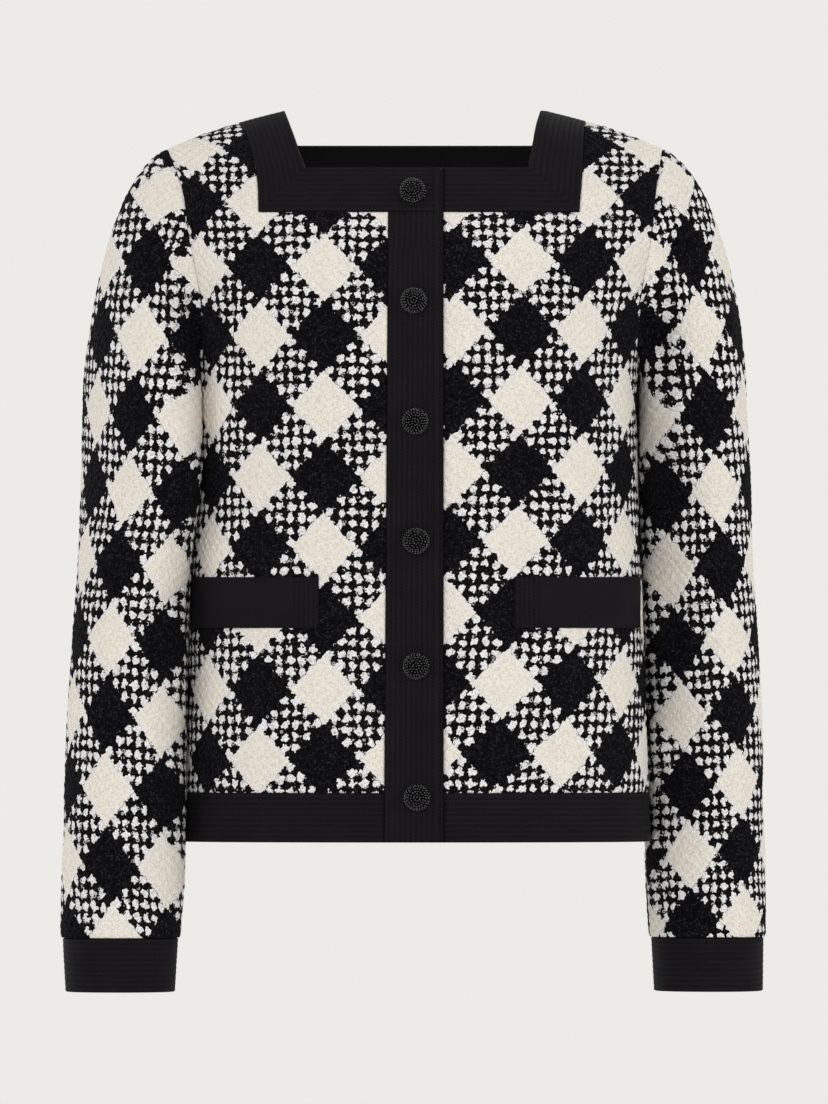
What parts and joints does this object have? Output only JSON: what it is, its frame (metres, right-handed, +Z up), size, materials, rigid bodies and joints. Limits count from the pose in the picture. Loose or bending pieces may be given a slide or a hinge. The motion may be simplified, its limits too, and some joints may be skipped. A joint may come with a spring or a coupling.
{
  "type": "cropped tweed jacket",
  "caption": "Cropped jacket in bias-checked tweed with a square neck, dark stitched bands, front buttons, pocket flaps and long sleeves, filled out with no wearer.",
  "frame": {"origin": "midway between the wearer's shoulders, at the height of the neck end of the shoulder seams, where the wearer holds the jacket up", "axes": "+Z up along the wearer's height, +X to the wearer's left, front facing -Y"},
  "size_m": [0.508, 0.2485, 0.6353],
  "materials": {
    "tweed": "ivory and black boucle tweed, woven as a large check cut on the bias",
    "trim": "black ribbed band, channel-stitched in close parallel rows",
    "beads": "black beads set in rings over a domed button"
  },
  "bodies": {
    "root": {"right_front": "tweed", "left_front": "tweed", "back": "tweed", "right_top_sleeve": "tweed", "left_top_sleeve": "tweed", "right_under_sleeve": "tweed", "left_under_sleeve": "tweed", "right_neck_band": "trim", "left_neck_band": "trim", "back_neck_band": "trim", "placket": "trim", "underlap": "trim", "right_hem_band": "trim", "left_hem_band": "trim", "back_hem_band": "trim", "right_cuff": "trim", "left_cuff": "trim", "right_pocket_flap": "trim", "left_pocket_flap": "trim", "button_1": "beads", "button_2": "beads", "button_3": "beads", "button_4": "beads", "button_5": "beads", "button_6": "beads"}
  },
  "joints": []
}
